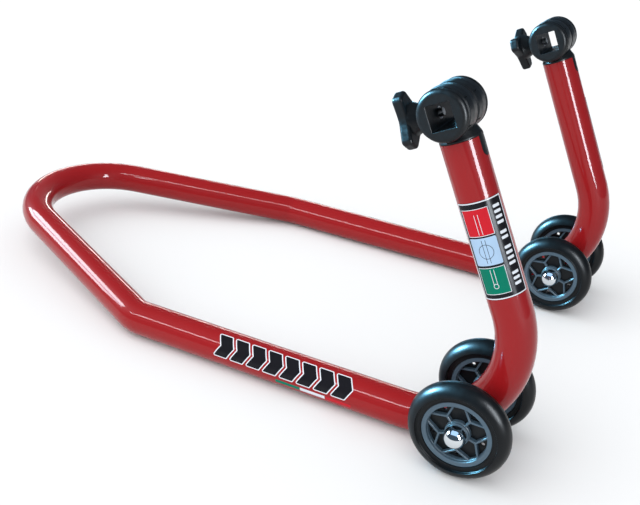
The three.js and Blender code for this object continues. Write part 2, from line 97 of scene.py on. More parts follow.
CAP_DEPTH = 5.0                          # how far the axle's end reaches into its cap
TOUCH = 0.3                              # gap between pieces that touch on the real stand

HEAD_RISE = 26.0                         # tube's top end to the barrel's axis
BARREL_R = 23.0
BARREL_HALF_LENGTH = 29.0
SOCKET = 22.4
KEY_WIDTH = 12.0
KEY_LENGTH = 18.0
SPIGOT_LENGTH = 55.0
SPIGOT_HOLLOW_R = 12.0
STUD_R = 3.9
STUD_TIP = -7.7                          # along the head's X, as the knob's faces below
THREAD_PITCH = 1.25
INSERT_R = 5.7
KNOB_R = 26.0
KNOB_TIP_HALF_WIDTH = 6.8
KNOB_WAIST_R = 14.0
KNOB_EDGE_R = 2.6
KNOB_FACE = -44.5
KNOB_BACK = -34.5
KNOB_BOSS_END = -27.0
STUD_START = KNOB_FACE + 4               # the stud's end inside the knob
KNOB_TURN = {"right": math.radians(21), "left": math.radians(72)}

# ---- Reference places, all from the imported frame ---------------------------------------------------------

JOINTS = {joint["name"]: joint for joint in frame["joints"]}


def joint_point(name):
    return Vector(JOINTS[name]["pos_m"]) * 1000


HEAD_AXIS = joint_point("clamp_right_turn")
AXLE = joint_point("wheel_right_outer_spin")
TRACK_HALF = abs(HEAD_AXIS.y)
WHEEL_OFFSET = abs(AXLE.y) - TRACK_HALF
CLAMP_DIRECTION = Vector(JOINTS["clamp_right_turn"]["axis"]).normalized()
LEAN = math.atan2(CLAMP_DIRECTION.z, CLAMP_DIRECTION.x)
UPRIGHT = Vector((-math.sin(LEAN), 0, math.cos(LEAN)))


def head_place(side):
    """A head's own frame: +X away from the knob, +Y along the barrel, +Z up the upright."""
    origin = Vector((HEAD_AXIS.x, SIDES[side] * TRACK_HALF, HEAD_AXIS.z))
    return Matrix.Translation(origin) @ Matrix.Rotation(-LEAN, 4, "Y")


def facing_x(side):
    """A head's frame turned so that its local X, Y and Z run along the head's Y, Z and X."""
    return head_place(side) @ Matrix(((0, 0, 1, 0), (1, 0, 0, 0), (0, 1, 0, 0), (0, 0, 0, 1)))


def across(x, y, z):
    """A frame at a point whose +Z runs along the stand's +Y, with +X kept and +Y up."""
    columns = Matrix(((1, 0, 0, 0), (0, 0, 1, 0), (0, 1, 0, 0), (0, 0, 0, 1)))
    return Matrix.Translation((x, y, z)) @ columns


# ---- Mesh helpers ----------------------------------------------------------------------------------------


def new_piece(name, points, faces, place=None):
    mesh = bpy.data.meshes.new(name)
    mesh.from_pydata([Vector(p) for p in points], [], faces)
    mesh.transform(Matrix.Scale(0.001, 4) @ (place or Matrix()))
    bm = bmesh.new()
    bm.from_mesh(mesh)
    bmesh.ops.recalc_face_normals(bm, faces=bm.faces)
    bm.to_mesh(mesh)
    bm.free()
    piece = bpy.data.objects.new(name, mesh)
    bpy.context.scene.collection.objects.link(piece)
    return piece


def apply_modifiers(piece):
    bpy.context.view_layer.update()
    evaluated = piece.evaluated_get(bpy.context.evaluated_depsgraph_get())
    mesh = bpy.data.meshes.new_from_object(evaluated)
    old = piece.data
    piece.modifiers.clear()
    piece.data = mesh
    mesh.name = old.name
    bpy.data.meshes.remove(old)


def combine(piece, others, operation):
    """Joins the others to a piece, or cuts them out of it, and removes them."""
    for other in others:
        modifier = piece.modifiers.new("combine", "BOOLEAN")
        modifier.operation = operation
        modifier.solver = "MANIFOLD"
        modifier.object = other
        apply_modifiers(piece)
        bpy.data.objects.remove(other)


def smooth(piece, sharp_above=32):
    """Smooth shading that keeps edges sharper than an angle, with flat areas kept flat."""
    piece.data.shade_smooth()
    piece.data.set_sharp_from_angle(angle=math.radians(sharp_above))
    modifier = piece.modifiers.new("weigh", "WEIGHTED_NORMAL")
    modifier.keep_sharp = True
    apply_modifiers(piece)


def arc(centre_x, centre_y, radius, start, end, steps):
    """Points of an arc; the angles are in radians."""
    angles = [start + (end - start) * i / steps for i in range(steps + 1)]
    return [(centre_x + radius * math.cos(a), centre_y + radius * math.sin(a)) for a in angles]


def rounded(corners, closed=False, steps=5):
    """An outline whose corners (x, y, radius) are rounded off."""
    points = []
    count = len(corners)
    for i, (x, y, radius) in enumerate(corners):
        at_end = not closed and i in (0, count - 1)
        if radius == 0 or at_end:
            points.append((x, y))
            continue
        corner = Vector((x, y))
        back = (Vector(corners[i - 1][:2]) - corner).normalized()
        ahead = (Vector(corners[(i + 1) % count][:2]) - corner).normalized()
        half = back.angle(ahead) / 2
        centre = corner + (back + ahead).normalized() * radius / math.sin(half)
        first = corner + back * radius / math.tan(half) - centre
        last = corner + ahead * radius / math.tan(half) - centre
        start = math.atan2(first.y, first.x)
        turn = math.atan2(first.x * last.y - first.y * last.x, first.dot(last))
        points += arc(centre.x, centre.y, radius, start, start + turn, steps)
    return points


def lathe(name, profile, place, segments=96):
    """A turned piece about local Z. Its (radius, height) points start and end on the axis or close up."""
    points, rings = [], []
    for radius, height in profile:
        first = len(points)
        if radius < 1e-6:
            points.append((0, 0, height))
            rings.append([first])
            continue
        turns = [2 * math.pi * i / segments for i in range(segments)]
        points += [(radius * math.cos(a), radius * math.sin(a), height) for a in turns]
        rings.append(list(range(first, first + segments)))
    pairs = list(zip(rings, rings[1:]))
    if len(rings[0]) > 1:
        pairs.append((rings[-1], rings[0]))
    faces = []
    for low, high in pairs:
        for i in range(segments):
            j = (i + 1) % segments
            corners = [low[i % len(low)], low[j % len(low)], high[j % len(high)], high[i % len(high)]]
            faces.append(list(dict.fromkeys(corners)))
    return new_piece(name, points, faces, place)


def loft(name, loops, place=None, closed=False):
    """Skins loops of equally many points. A run that isn't closed gets a cap on each end."""
    size = len(loops[0])
    points = [point for loop in loops for point in loop]
    faces = []
    last = len(loops) if closed else len(loops) - 1
    for k in range(last):
        here, there = k * size, (k + 1) % len(loops) * size
        for i in range(size):
            j = (i + 1) % size
            faces.append((here + i, here + j, there + j, there + i))
    if not closed:
        faces.append(tuple(range(size))[::-1])
        faces.append(tuple(range(len(points) - size, len(points))))
    return new_piece(name, points, faces, place)


def signed_area(outline):
    pairs = zip(outline, outline[1:] + outline[:1])
    return sum(x0 * y1 - x1 * y0 for (x0, y0), (x1, y1) in pairs) / 2


def grown(outline, distance):
    """The outline moved outwards by a distance, or inwards if it is negative."""
    outwards = 1 if signed_area(outline) > 0 else -1
    moved = []
    for i, point in enumerate(outline):
        here = Vector(point)
        before = (here - Vector(outline[i - 1])).normalized()
        after = (Vector(outline[(i + 1) % len(outline)]) - here).normalized()
        first, second = Vector((before.y, -before.x)), Vector((after.y, -after.x))
        middle = (first + second).normalized()
        reach = distance * outwards / max(middle.dot(first), 0.5)
        moved.append(tuple(here + middle * reach))
    return moved


def rounded_prism(name, outline, low, high, edge, place, steps=4, flare=False):
    """A prism along local Z with quarter-round edges. A flared one is a cutter, open at its ends."""
    beyond = 2.0
    loops = [(edge, -beyond)] if flare else []
    for k in range(steps + 1):
        angle = math.pi / 2 * k / steps
        wider = edge * (1 - math.sin(angle))
        loops.append((wider, edge * math.sin(angle)) if flare else (-wider, edge * (1 - math.cos(angle))))
    ends = [(wider, low + rise) for wider, rise in loops]
    ends += [(wider, high - rise) for wider, rise in reversed(loops)]
    shapes = [[(x, y, z) for x, y in grown(outline, wider)] for wider, z in ends]
    return loft(name, shapes, place)


# ---- Materials -------------------------------------------------------------------------------------------


class Finish:
    """A material whose colour, roughness and relief vary with noise in the piece's own coordinates."""

    def __init__(self, name, color, roughness, **shader_values):
        self.material = bpy.data.materials.new(name)
        self.material.use_nodes = True
        self.nodes = self.material.node_tree.nodes
        self.links = self.material.node_tree.links
        self.shader = self.nodes["Principled BSDF"]
        self.color = (*color, 1)
        self.shader.inputs["Base Color"].default_value = self.color
        self.shader.inputs["Roughness"].default_value = roughness
        self.roughness = roughness
        for socket, value in shader_values.items():
            self.shader.inputs[socket.replace("_", " ")].default_value = value
        self.coordinates = self.nodes.new("ShaderNodeTexCoord").outputs["Object"]

    def noise(self, scale, detail=2.0, stretch=None):
        texture = self.nodes.new("ShaderNodeTexNoise")
        texture.inputs["Scale"].default_value = scale
        texture.inputs["Detail"].default_value = detail
        source = self.coordinates
        if stretch:
            mapping = self.nodes.new("ShaderNodeMapping")
            mapping.inputs["Scale"].default_value = stretch
            self.links.new(source, mapping.inputs["Vector"])
            source = mapping.outputs["Vector"]
        self.links.new(source, texture.inputs["Vector"])
        return texture.outputs["Fac"]

    def vary_color(self, scale, darker, lighter):
        mix = self.nodes.new("ShaderNodeMix")
        mix.data_type = "RGBA"
        mix.inputs["A"].default_value = (*[c * darker for c in self.color[:3]], 1)
        mix.inputs["B"].default_value = (*[c * lighter for c in self.color[:3]], 1)
        self.links.new(self.noise(scale, 4), mix.inputs["Factor"])
        self.links.new(mix.outputs["Result"], self.shader.inputs["Base Color"])
        return self

    def vary_roughness(self, scale, spread, stretch=None):
        spans = self.nodes.new("ShaderNodeMapRange")
        spans.inputs["From Min"].default_value = 0.3
        spans.inputs["From Max"].default_value = 0.7
        spans.inputs["To Min"].default_value = self.roughness - spread
        spans.inputs["To Max"].default_value = self.roughness + spread
        self.links.new(self.noise(scale, 5, stretch), spans.inputs["Value"])
        self.links.new(spans.outputs["Result"], self.shader.inputs["Roughness"])
        return self

    def relief(self, *layers):
        """Each layer is (scale, height in millimetres) or (scale, height, stretch)."""
        normal = None
        for scale, height, *stretch in layers:
            bump = self.nodes.new("ShaderNodeBump")
            bump.inputs["Distance"].default_value = height / 1000
            self.links.new(self.noise(scale, 2, *stretch), bump.inputs["Height"])
            if normal:
                self.links.new(normal, bump.inputs["Normal"])
            normal = bump.outputs["Normal"]
        self.links.new(normal, self.shader.inputs["Normal"])
        return self.material


def make_finishes():
    paint = Finish("red_powder_coat", (0.255, 0.007, 0.009), 0.4, Specular_IOR_Level=0.06, Coat_Weight=1.0,
                   Coat_Roughness=0.03, Coat_IOR=1.3)
    paint.vary_color(9, 0.93, 1.05).vary_roughness(60, 0.04)
    nylon = Finish("black_nylon", (0.0055, 0.0072, 0.009), 0.36, Specular_IOR_Level=0.2)
    nylon.vary_color(40, 0.8, 1.25).vary_roughness(300, 0.07)
    rubber = Finish("tyre_rubber", (0.003, 0.004, 0.0052), 0.35, Specular_IOR_Level=0.19)
    rubber.vary_color(25, 0.8, 1.3).vary_roughness(120, 0.05)
    rim = Finish("rim_plastic", (0.052, 0.088, 0.122), 0.42, Specular_IOR_Level=0.4)
    rim.vary_color(30, 0.9, 1.1).vary_roughness(200, 0.06)
    chrome = Finish("chrome", (0.66, 0.70, 0.73), 0.06, Metallic=1.0)
    chrome.vary_roughness(150, 0.025)
    zinc = Finish("zinc_plate", (0.58, 0.59, 0.6), 0.32, Metallic=1.0)
    zinc.vary_color(200, 0.85, 1.08).vary_roughness(400, 0.08)
    acetal = Finish("acetal", (0.72, 0.71, 0.67), 0.45)
    acetal.vary_color(50, 0.94, 1.03).vary_roughness(300, 0.05)
    finishes = {
        "paint": paint.relief((500, 0.001), (45, 0.0006)),
        "nylon": nylon.relief((1400, 0.015), (260, 0.01)),
        "rubber": rubber.relief((900, 0.006), (70, 0.003)),
        "rim": rim.relief((1100, 0.012)),
        "chrome": chrome.relief((500, 0.002)),
        "zinc": zinc.relief((1500, 0.008), (300, 0.01)),
        "acetal": acetal.relief((900, 0.01)),
    }
    vinyls = {
        "label_black": (0.009, 0.009, 0.012),
        "label_white": (0.62, 0.66, 0.72),
        "label_red": (0.47, 0.012, 0.022),
        "label_pale": (0.33, 0.47, 0.64),
        "label_green": (0.0, 0.15, 0.095),
    }
    for name, color in vinyls.items():
        vinyl = Finish(name, color, 0.22, Specular_IOR_Level=0.1)
        vinyl.vary_color(35, 0.93, 1.05).vary_roughness(80, 0.04)
        finishes[name] = vinyl.relief((300, 0.006))
    return finishes


FINISHES = make_finishes()
GROUPS = {name: bpy.data.collections.new(name) for name in ("paint", "plastics", "chrome")}


def dress(piece, finish, body, slot, *nodes):
    """Gives a piece its material, its body and the CAD nodes it stands for; the slot argument is not used."""
    piece.data.materials.clear()
    piece.data.materials.append(FINISHES[finish])
    if finish in ("paint", "chrome"):
        GROUPS[finish].objects.link(piece)
    elif finish in ("nylon", "rubber", "rim"):
        GROUPS["plastics"].objects.link(piece)
    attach(piece, body)
    if nodes:
        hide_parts(*nodes)


# ---- Frame tube ------------------------------------------------------------------------------------------

LOWER = Vector((HEAD_AXIS.x + (HEAD_AXIS.z - CORNER_Z) * math.tan(LEAN), -TRACK_HALF, CORNER_Z))
TOP = Vector((HEAD_AXIS.x, -TRACK_HALF, HEAD_AXIS.z)) - UPRIGHT * HEAD_RISE
KINK = Vector((LOWER.x - ARM_LENGTH, -TRACK_HALF, KINK_Z))
TAPER_RUN = TRACK_HALF / math.tan(TAPER)
HANDLE_CORNER = Vector((
    KINK.x - TAPER_RUN, 0, KINK.z + math.hypot(TAPER_RUN, TRACK_HALF) * math.tan(HANDLE_RISE),
))
MIRRORED = Matrix.Diagonal((1, -1, 1, 1))


def corner_arc(before, corner, after, radius, steps, share=1.0):
    """(point, tangent) pairs along the arc that rounds a corner, or along its first share."""
    back = (before - corner).normalized()
    ahead = (after - corner).normalized()
    half = back.angle(ahead) / 2
    centre = corner + (back + ahead).normalized() * radius / math.sin(half)
    start = corner + back * radius / math.tan(half) - centre
    axis = ahead.cross(back).normalized()
    sweep = (math.pi - 2 * half) * share
    stations = []
    for i in range(steps + 1):
        spoke = Matrix.Rotation(sweep * i / steps, 3, axis) @ start
        stations.append((centre + spoke, axis.cross(spoke).normalized()))
    return stations


def half_path():
    """Stations from the right upright's top end to the middle of the handle."""
    down = (LOWER - TOP).normalized()
    far_kink = MIRRORED @ KINK
    return [
        (TOP, down),
        *corner_arc(TOP, LOWER, KINK, BEND_R, 28),
        *corner_arc(LOWER, KINK, HANDLE_CORNER, KINK_R, 12),
        *corner_arc(KINK, HANDLE_CORNER, far_kink, HANDLE_R, 28, share=0.5),
    ]


def tube_loops(radius):
    """Rings along the whole tube, the left half being the mirror image of the right."""
    loops = []
    outwards = CLAMP_DIRECTION.copy()
    previous = None
    for point, tangent in half_path():
        if previous is not None:
            outwards = previous.rotation_difference(tangent) @ outwards
        previous = tangent
        sideways = tangent.cross(outwards)
        turns = [2 * math.pi * i / TUBE_FACETS for i in range(TUBE_FACETS)]
        loops.append([point + radius * (outwards * math.cos(a) + sideways * math.sin(a)) for a in turns])
    mirrored = [[MIRRORED @ p for p in loop] for loop in reversed(loops[:-1])]
    return loops + mirrored


def key_outline(half_width, low, high):
    """The key or its slot across the head's X: straight sides and a round lower end."""
    return [
        (half_width, high),
        (-half_width, high),
        *arc(0, low + half_width, half_width, math.pi, 2 * math.pi, 16),
    ]


def key_prism(name, outline, low, high, side):
    """A prism along the head's X over an outline in its YZ plane."""
    loops = [[(y, z, x) for y, z in outline] for x in (low, high)]
    return loft(name, loops, facing_x(side))


def set_radial_normals(tube):
    """Gives the tube's skin the normals of its true round surface."""
    stations = half_path()
    stations += [(MIRRORED @ p, -(MIRRORED @ t)) for p, t in reversed(stations[:-1])]
    mesh = tube.data
    true_normals = []
    for vertex in mesh.vertices:
        place = vertex.co * 1000
        best = None
        for (start, _), (end, _) in zip(stations, stations[1:]):
            leg = end - start
            share = min(max((place - start).dot(leg) / leg.length_squared, 0), 1)
            spoke = place - (start + leg * share)
            if best is None or spoke.length < best.length:
                best = spoke
        true_normals.append(best)
    normals = []
    for polygon in mesh.polygons:
        for index in polygon.loop_indices:
            spoke = true_normals[mesh.loops[index].vertex_index]
            on_skin = spoke.length > TUBE_R - 0.2 and spoke.normalized().dot(polygon.normal) > 0.9
            normals.append(spoke.normalized() if on_skin else polygon.normal)
    mesh.normals_split_custom_set(normals)


def make_tube():
    skin = tube_loops(TUBE_R)
    bore = tube_loops(TUBE_R - TUBE_WALL)
    tube = loft("tube_skin", skin + bore[::-1], closed=True)
    slot = key_outline(KEY_WIDTH / 2 + TOUCH, -HEAD_RISE - KEY_LENGTH - TOUCH, -HEAD_RISE + KEY_WIDTH)
    cutters = [key_prism("slot", slot, TUBE_R / 2, TUBE_R * 1.5, side) for side in SIDES]
    combine(tube, cutters, "DIFFERENCE")
    tube.data.shade_smooth()
    set_radial_normals(tube)
    dress(tube, "paint", "frame", "red_powder_coat", "frame_tube")


def make_sleeve(side):
    """The sleeve that carries the axle, with a rippled weld bead on each side, where it leaves the bend."""
    half = WHEEL_OFFSET - HUB_HALF_WIDTH - FLANGE_THICKNESS - 2 * TOUCH
    profile = rounded([
        (AXLE_BORE_R, -half, 0.4), (SLEEVE_R, -half, 0.6), (SLEEVE_R, half, 0.6), (AXLE_BORE_R, half, 0.4),
    ], closed=True)
    y = SIDES[side] * TRACK_HALF
    sleeve = lathe(f"sleeve_skin_{side}", profile, across(AXLE.x, y, AXLE.z), 64)
    smooth(sleeve)
    dress(sleeve, "paint", "frame", "red_powder_coat", f"axle_sleeve_{side}")
    for place, direction in PLACES.items():
        bead = make_bead(f"weld_{side}_{place}", y, SIDES[side] * direction)
        smooth(bead, 80)
        dress(bead, "paint", "frame", "red_powder_coat")


def make_bead(name, tube_y, direction):
    """A weld bead along the line where the sleeve leaves the bend's round surface."""
    ripples, per_ripple, around = 34, 5, 12
    count = ripples * per_ripple
    bead_r, ripple_height, unevenness = 2.3, 0.28, 0.2
    bend_middle = corner_arc(TOP, LOWER, KINK, BEND_R, 2)[1][0]
    bend_centre = bend_middle + (bend_middle - LOWER).normalized() * BEND_R
    along = Vector((0, direction, 0))
    loops = []
    for i in range(count):
        turn = 2 * math.pi * i / count
        spoke = Vector((math.cos(turn), 0, math.sin(turn)))
        at = AXLE + spoke * SLEEVE_R
        away = math.hypot(at.x - bend_centre.x, at.z - bend_centre.z) - BEND_R
        rise = math.sqrt(TUBE_R ** 2 - away ** 2)
        middle = Vector((at.x, tube_y + direction * rise, at.z))
        size = bead_r + ripple_height * abs(math.sin(math.pi * i / per_ripple))
        size += unevenness * math.sin(turn * 3 + 1)
        loops.append([
            middle + size * (spoke * math.cos(a) + along * math.sin(a) * 0.85)
            for a in (2 * math.pi * k / around for k in range(around))
        ])
    return loft(name, loops, closed=True)


# ---- Wheels and axles ------------------------------------------------------------------------------------


def mirrored_profile(half):
    """A profile that is given above its middle plane, with its mirror image below."""
    return half + [(radius, -height) for radius, height in reversed(half)]


def tyre_profile():
    crown_r = WHEEL_R - TYRE_HALF_WIDTH
    band = RIM_HALF_WIDTH + 0.4
    shoulder = math.radians(80)
    seam = 0.35                          # half width of the mould seam round the crown
    crown = arc(crown_r, 0, TYRE_HALF_WIDTH, seam / TYRE_HALF_WIDTH, shoulder, 22)
    lip = rounded([
        (*crown[-1], 0), (crown_r + 1.6, TYRE_HALF_WIDTH - 0.35, 0.9), (crown_r + 1.9, band, 0.8),
        (RIM_R + 1.6, band, 0.3), (RIM_R + 1.2, band + 0.25, 0.2), (RIM_R + TOUCH, band + 0.25, 0),
    ], steps=6)
    half = [(WHEEL_R + 0.12, 0.12)] + crown + lip[1:]
    return mirrored_profile(list(reversed(half)))


def line_through(start, end, shift):
    """A line from start to end, moved to its left by shift, as (point, direction)."""
    direction = (end - start).normalized()
    return start + Vector((-direction.y, direction.x)) * shift, direction


def meeting(first, second):
    (start, direction), (other_start, other_direction) = first, second
    along = (other_start - start).cross(other_direction) / direction.cross(other_direction)
    return start + direction * along


def meeting_circle(line, radius):
    """Where a line, followed forwards, leaves the circle round the origin."""
    start, direction = line
    back = start.dot(direction)
    return start + direction * (math.sqrt(back ** 2 - start.dot(start) + radius ** 2) - back)


def polar(radius, angle):
    return Vector((radius * math.cos(angle), radius * math.sin(angle)))


def arc_between(start, end, steps):
    """The shorter arc round the origin from start to end, as corners without rounding."""
    first = math.atan2(start.y, start.x)
    return [(x, y, 0) for x, y in arc(0, 0, start.length, first, first - start.angle_signed(end), steps)]


def rim_openings(turn):
    """Outlines of the openings: one inside each spoke's fork and one between each two spokes."""
    ring_r, hub_r = RIM_INNER_R - 0.5, HUB_R + 0.5
    branch_r = RIM_INNER_R + 1.7
    half = SPOKE_HALF_THICKNESS
    step = 2 * math.pi / SPOKES
    centre = Vector((0, 0))
    outlines = []
    for i in range(SPOKES):
        angle = turn + step * i
        fork, next_fork = polar(SPOKE_FORK_R, angle), polar(SPOKE_FORK_R, angle + step)
        upper, lower = polar(branch_r, angle + SPOKE_SPREAD), polar(branch_r, angle - SPOKE_SPREAD)
        next_lower = polar(branch_r, angle + step - SPOKE_SPREAD)

        low, high = line_through(fork, lower, half), line_through(fork, upper, -half)
        ring_arc = arc_between(meeting_circle(low, ring_r), meeting_circle(high, ring_r), 8)
        outlines.append(rounded([(*meeting(low, high), 0.9), *ring_arc], closed=True))

        foot, branch = line_through(centre, fork, half), line_through(fork, upper, half)
        next_foot = line_through(centre, next_fork, -half)
        next_branch = line_through(next_fork, next_lower, -half)
        ring_arc = arc_between(meeting_circle(branch, ring_r), meeting_circle(next_branch, ring_r), 6)
        hub_arc = arc_between(meeting_circle(next_foot, hub_r), meeting_circle(foot, hub_r), 8)
        outlines.append(rounded([
            (*meeting(foot, branch), 0.9), *ring_arc, (*meeting(next_branch, next_foot), 0.9), *hub_arc,
        ], closed=True))
    return outlines


def shade_web_ring(clearance, edge):
    """The section of the black disc that paints the shade inside the wheel, or with a clearance that of the
    groove that it sits in.
    """
    reach, half = SHADE_WEB_SEAT + clearance, SHADE_WEB_HALF_THICKNESS + clearance
    return rounded([
        (HUB_R - reach, -half, edge), (RIM_INNER_R + reach, -half, edge), (RIM_INNER_R + reach, half, edge),
        (HUB_R - reach, half, edge),
    ], closed=True)


def make_shade_web(side, place, at):
    """A black disc in the rim that paints the shade inside the wheel behind the spokes, with a small hole in
    the fork of each spoke.
    """
    web = lathe(f"shade_web_skin_{side}_{place}", shade_web_ring(0, 0.3), at)
    holes = []
    for i in range(SPOKES):
        centre = polar(SHADE_WEB_HOLE_AT, SPOKE_TURN[side] + 2 * math.pi * i / SPOKES)
        outline = [(x + centre.x, y + centre.y) for x, y in arc(0, 0, SHADE_WEB_HOLE_R, 0, 2 * math.pi, 32)[:-1]]
        half = SHADE_WEB_HALF_THICKNESS
        holes.append(rounded_prism("hole", outline, -half, half, 0.4, at, flare=True))
    combine(web, holes, "DIFFERENCE")
    smooth(web, 35)
    return web


def make_rim(side, place, at):
    profile = mirrored_profile(rounded([
        (HUB_BORE_R, 0, 0), (HUB_BORE_R, HUB_HALF_WIDTH, 0.5), (HUB_R, HUB_HALF_WIDTH, 0.7),
        (HUB_R, SPOKE_HALF_WIDTH, 0.3), (RIM_INNER_R, SPOKE_HALF_WIDTH, 0.4),
        (RIM_INNER_R, RIM_HALF_WIDTH, 0.9), (RIM_R, RIM_HALF_WIDTH, 0.4), (RIM_R, 0, 0),
    ]))
    profile = list(dict.fromkeys(profile))
    rim = lathe(f"rim_skin_{side}_{place}", profile, at)
    cutters = [
        rounded_prism("opening", outline, -SPOKE_HALF_WIDTH, SPOKE_HALF_WIDTH, 0.4, at, flare=True)
        for outline in rim_openings(SPOKE_TURN[side])
    ]
    groove = lathe("groove", shade_web_ring(TOUCH, 0), at)
    combine(rim, [*cutters, groove], "DIFFERENCE")
    smooth(rim, 35)
    return rim


def bush_profile():
    """From the hub's middle outwards, with a flange on the hub's end face."""
    flange = HUB_HALF_WIDTH + TOUCH
    end = flange + FLANGE_THICKNESS
    return rounded([
        (AXLE_BORE_R, TOUCH, 0.2), (BUSH_R, TOUCH, 0.3), (BUSH_R, flange, 0), (BUSH_FLANGE_R, flange, 0.2),
        (BUSH_FLANGE_R, end, 0.3), (AXLE_BORE_R, end, 0.3),
    ], closed=True)


def make_wheel(side, place):
    body = f"wheel_{side}_{place}"
    direction = SIDES[side] * PLACES[place]
    y = SIDES[side] * TRACK_HALF + direction * WHEEL_OFFSET
    at = across(AXLE.x, y, AXLE.z)
    tyre = lathe(f"tyre_skin_{side}_{place}", tyre_profile(), at, 128)
    smooth(tyre, 40)
    dress(tyre, "rubber", body, "tyre", f"tyre_{side}_{place}")
    dress(make_rim(side, place, at), "rim", body, "rim_plastic", f"rim_{side}_{place}")
    # the black disc paints the shade seen inside the wheel through the spokes
    dress(make_shade_web(side, place, at), "nylon", body, "black_plastic", f"wheel_web_{side}_{place}")
    for end, sign in (("outer_end", direction), ("inner_end", -direction)):
        profile = [(radius, height * sign) for radius, height in bush_profile()]
        bush = lathe(f"bush_skin_{side}_{place}_{end}", profile, at, 48)
        smooth(bush)
        dress(bush, "acetal", body, "bush", f"bush_{side}_{place}_{end}")


def make_washer(side, place, sign, washer_at, at):
    outer_r = BUSH_FLANGE_R - TOUCH
    far = washer_at + WASHER_THICKNESS
    profile = rounded([
        (AXLE_BORE_R, washer_at, 0.15), (outer_r, washer_at, 0.25), (outer_r, far, 0.25),
        (AXLE_BORE_R, far, 0.15),
    ], closed=True)
    washer = lathe(f"washer_skin_{side}_{place}", [(r, sign * h) for r, h in profile], at, 64)
    smooth(washer)
    dress(washer, "zinc", "frame", "zinc_steel", f"axle_washer_{side}_{place}")


def make_cap(side, place, sign, cap_at, skirt_end, at):
    """A domed cap pushed over the axle's end, with a thin skirt that reaches round the washer."""
    skirt_bore = CAP_SKIRT_R - CAP_SKIRT_WALL
    dome_foot = cap_at + CAP_BAND
    quarter = arc(0, 0, 1, 0, math.pi / 2, 24)[:-1]
    profile = [
        (0, cap_at + CAP_DEPTH), (AXLE_BORE_R, cap_at + CAP_DEPTH), (AXLE_BORE_R, cap_at),
        (skirt_bore, cap_at), (skirt_bore, skirt_end), (CAP_SKIRT_R, skirt_end),
        *[(r * CAP_SKIRT_R, dome_foot + h * CAP_R) for r, h in quarter], (0, dome_foot + CAP_R),
    ]
    cap = lathe(f"cap_skin_{side}_{place}", [(r, sign * h) for r, h in profile], at, 72)
    smooth(cap)
    dress(cap, "chrome", "frame", "chrome", f"axle_cap_{side}_{place}")


def make_axle(side):
    washer_at = WHEEL_OFFSET + HUB_HALF_WIDTH + FLANGE_THICKNESS + 2 * TOUCH
    cap_at = washer_at + WASHER_THICKNESS + TOUCH
    skirt_end = washer_at - CAP_SKIRT_REACH
    reach = cap_at + CAP_DEPTH - TOUCH
    at = across(AXLE.x, SIDES[side] * TRACK_HALF, AXLE.z)
    axle = lathe(f"axle_skin_{side}", rounded([
        (0, -reach, 0), (AXLE_R, -reach, 0.8), (AXLE_R, reach, 0.8), (0, reach, 0),
    ]), at, 48)
    smooth(axle)
    dress(axle, "zinc", "frame", "zinc_steel", f"axle_{side}")
    for place, direction in PLACES.items():
        sign = SIDES[side] * direction
        make_washer(side, place, sign, washer_at, at)
        make_cap(side, place, sign, cap_at, skirt_end, at)


# ---- Clamping heads --------------------------------------------------------------------------------------

ALONG_X = Matrix.Rotation(math.pi / 2, 4, "Y")          # local Z of a turned piece becomes the head's X


def barrel_profile():
    """Rounded end rings and two crowned lobes, with a wide valley between each two."""
    valley_at, valley_r, shoulder_r = 22.6, BARREL_R - 2.1, BARREL_R - 0.4
    end, end_fillet = BARREL_HALF_LENGTH, 4.4
    profile = [(0, -end, 0), (BARREL_R, -end, end_fillet)]
    for at, half in ((-valley_at, 2.3), (0, 2.9), (valley_at, 2.3)):
        profile += [(shoulder_r, at - half, 1.3), (valley_r, at, 1.0), (shoulder_r, at + half, 1.3)]
        if at < valley_at:
            profile.append((BARREL_R + 0.15, at + valley_at / 2, 10))
    return rounded(profile + [(BARREL_R, end, end_fillet), (0, end, 0)], steps=8)


def neck_profile():
    """A collar on the tube's end that tapers into a waist below the barrel."""
    bottom, waist_r = -HEAD_RISE + TOUCH, TUBE_R - 3
    return rounded([
        (0, bottom, 0), (TUBE_R, bottom, 0.4), (TUBE_R, bottom + 1.2, 1.2), (waist_r, bottom + 8, 4),
        (waist_r, bottom + 11, 0), (0, bottom + 12, 0),
    ], steps=6)


def spigot_profile():
    radius = TUBE_R - TUBE_WALL - 2 * TOUCH
    end = -HEAD_RISE - SPIGOT_LENGTH
    return rounded([(0, end, 0), (radius, end, 1.5), (radius, -HEAD_RISE + 2, 0), (0, -HEAD_RISE + 2, 0)])


def socket_cutter(place):
    """A square bar with slightly rounded corners that flares at both mouths."""
    mouth, beyond, corner_r = 0.15, 2, 0.8
    end = BARREL_HALF_LENGTH
    stations = [
        (-end - beyond, mouth + beyond), (-end + mouth, 0),
        (end - mouth, 0), (end + beyond, mouth + beyond),
    ]
    loops = []
    for y, wider in stations:
        half = SOCKET / 2 + wider
        corners = ((half, half), (-half, half), (-half, -half), (half, -half))
        outline = rounded([(x, z, corner_r) for x, z in corners], closed=True)
        loops.append([(x, y, z) for x, z in outline])
    return loft("socket", loops, place)


def mould_marks(place):
    """Cutters for short shallow slots along the barrel, where the mould's inserts met."""
    half_width, half_length, corner_r, depth, beyond = 0.7, 3.5, 0.6, 0.9, 2.0
    corners = (
        (half_width, -half_length), (half_width, half_length),
        (-half_width, half_length), (-half_width, -half_length),
    )
    outline = rounded([(z, y, corner_r) for z, y in corners], closed=True)
    loops = [[(x, y, z) for z, y in outline] for x in (-depth, beyond)]
    cutters = []
    for degrees in (23.5, -38):
        for middle in (-19, 5):
            turn = Matrix.Rotation(-math.radians(degrees), 4, "Y")
            cutters.append(loft("mark", loops, place @ turn @ Matrix.Translation((BARREL_R, middle, 0))))
    return cutters


def drill(radius, low, high, place, segments=48):
    """A round cutter along local Z."""
    return lathe("drill", [(0, low), (radius, low), (radius, high), (0, high)], place, segments)


